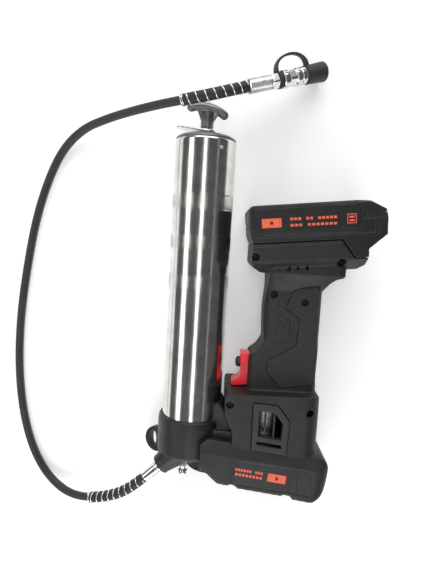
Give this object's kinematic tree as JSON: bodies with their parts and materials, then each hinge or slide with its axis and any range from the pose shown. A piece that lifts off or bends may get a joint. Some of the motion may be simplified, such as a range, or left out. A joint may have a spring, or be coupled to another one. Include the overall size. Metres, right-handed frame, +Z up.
{
  "type": "cordless grease gun",
  "caption": "Battery grease gun with a bright cartridge barrel and pull rod beside its pistol grip, and a whip hose with guards, coupler and rubber cap.",
  "frame": {"origin": "on the floor, under the middle of the gun's box without its free hose", "axes": "gun lies on its left side: +X to its back, +Y along the grease barrel to the T-handle, +Z up, to its right side"},
  "size_m": [0.3542, 0.462, 0.075],
  "materials": {
    "housing_plastic": "fine moulded texture, charcoal black",
    "grip_rubber": "soft overmould, dark grey",
    "battery_plastic": "fine moulded texture, black",
    "latch_plastic": "smooth black",
    "vent_plastic": "dark grey, textured",
    "label_plastic": "smooth black with plain orange blocks",
    "red_plastic": "satin red",
    "black_button": "smooth black",
    "clear_lens": "clear window",
    "black_casting": "casting with black powder coat",
    "plated_steel": "bright plated steel, knurled bands",
    "rod_steel": "plated steel",
    "handle_metal": "dark satin plated",
    "spring_steel": "bright spring wire",
    "nipple_steel": "zinc plated, bright",
    "dark_steel": "black oxide",
    "bright_steel": "machined",
    "bronze": "plain",
    "raw_aluminium": "as machined",
    "seal_rubber": "smooth black",
    "motor_plastic": "plain",
    "board_green": "lacquered board",
    "cell_wrap": "wrapped cells",
    "hose_rubber": "smooth black",
    "guard_sleeve": "black sleeve under bright wire coils",
    "cap_rubber": "smooth black"
  },
  "bodies": {
    "gun": {"housing_right": "housing_plastic", "housing_left": "housing_plastic", "grip_pad_right": "grip_rubber", "grip_pad_left": "grip_rubber", "vent_inserts": "vent_plastic", "label_plates": "label_plastic", "trigger_switch": "black_button", "terminal_block": "black_button", "indicator_lenses": "clear_lens", "pump_head": "black_casting", "strap_loop": "black_casting", "gearcase_cover": "black_casting", "trigger_spring": "spring_steel", "check_spring": "spring_steel", "piston_spring": "spring_steel", "loader_nipple": "nipple_steel", "hose_ferrule_inlet": "nipple_steel", "hose_ferrule_outlet": "nipple_steel", "coupler_adapter": "nipple_steel", "coupler_body": "nipple_steel", "coupler_jaws": "nipple_steel", "housing_screws": "dark_steel", "motor_magnets": "dark_steel", "idler_pin": "bright_steel", "motor_can": "bright_steel", "crank_bush": "bronze", "motor_bushes": "bronze", "terminal_blades": "bronze", "gearbox_plate": "raw_aluminium", "barrel_gasket": "seal_rubber", "motor_end_cap": "motor_plastic", "control_board": "board_green", "hose": "hose_rubber", "hose_guard_inlet": "guard_sleeve", "hose_guard_outlet": "guard_sleeve", "coupler_cap": "cap_rubber", "cap_strap": "cap_rubber"},
    "barrel": {"barrel_tube": "plated_steel", "barrel_cap": "plated_steel", "cap_rivets": "plated_steel", "follower_spring": "spring_steel"},
    "rod": {"follower_rod": "rod_steel", "t_handle": "handle_metal", "follower_cup": "seal_rubber", "follower_nut": "rod_steel"},
    "latch": {"latch_plate": "plated_steel"},
    "trigger": {"trigger": "red_plastic"},
    "safety": {"safety_button": "black_button"},
    "battery": {"battery_base": "battery_plastic", "battery_cover": "battery_plastic", "battery_cells": "cell_wrap", "latch_spring": "spring_steel"},
    "battery_release": {"battery_latch": "latch_plastic"},
    "motor": {"motor_armature": "bright_steel", "motor_pinion": "bright_steel"},
    "idler": {"idler_gear": "bright_steel"},
    "crank": {"crank_gear": "bright_steel", "cam_roller": "bright_steel"},
    "piston": {"pump_piston": "bright_steel"},
    "valve": {"check_ball": "bright_steel"}
  },
  "joints": [
    {"name": "barrel_turn", "type": "hinge", "parent": "gun", "child": "barrel", "pos_m": [-0.05834, 0.00925, 0.0375], "axis": [0, 1, 0], "range_deg": [0, 10]},
    {"name": "rod_pull", "type": "slide", "parent": "barrel", "child": "rod", "axis": [0, 1, 0], "range_m": [0, 0.19], "deforming": ["follower_spring"]},
    {"name": "latch_press", "type": "hinge", "parent": "barrel", "child": "latch", "pos_m": [-0.04934, 0.15426, 0.0375], "axis": [0, 0, 1], "range_deg": [0, 3.5], "stiffness_Nm_per_rad": 1},
    {"name": "trigger_pull", "type": "slide", "parent": "gun", "child": "trigger", "axis": [1, 0, 0], "range_m": [0, 0.006], "stiffness_N_per_m": 800, "deforming": ["trigger_spring"]},
    {"name": "safety_press", "type": "slide", "parent": "trigger", "child": "safety", "axis": [1, 0, 0], "range_m": [0, 0.004], "stiffness_N_per_m": 300},
    {"name": "battery_slide", "type": "slide", "parent": "gun", "child": "battery", "axis": [0.9942, 0.108, 0], "range_m": [0, 0.1]},
    {"name": "release_press", "type": "slide", "parent": "battery", "child": "battery_release", "axis": [-0.108, 0.9942, 0], "range_m": [0, 0.0042], "stiffness_N_per_m": 600, "deforming": ["latch_spring"]},
    {"name": "motor_spin", "type": "hinge", "parent": "gun", "child": "motor", "pos_m": [0.01426, -0.11575, 0.0375], "axis": [0, 1, 0], "continuous": true},
    {"name": "idler_spin", "type": "hinge", "parent": "gun", "child": "idler", "pos_m": [-0.00734, -0.16074, 0.0375], "axis": [0, 1, 0], "continuous": true},
    {"name": "crank_spin", "type": "hinge", "parent": "gun", "child": "crank", "pos_m": [-0.03584, -0.15574, 0.0375], "axis": [0, 1, 0], "continuous": true},
    {"name": "piston_stroke", "type": "slide", "parent": "gun", "child": "piston", "axis": [1, 0, 0], "range_m": [0, 0.008], "deforming": ["piston_spring"]},
    {"name": "valve_lift", "type": "slide", "parent": "gun", "child": "valve", "axis": [-1, 0, 0], "range_m": [0, 0.0014], "stiffness_N_per_m": 200, "deforming": ["check_spring"]}
  ],
  "couplings": [
    {"joint": "idler_spin", "follows": "motor_spin", "ratio": -0.2},
    {"joint": "crank_spin", "follows": "motor_spin", "ratio": 0.071429}
  ]
}
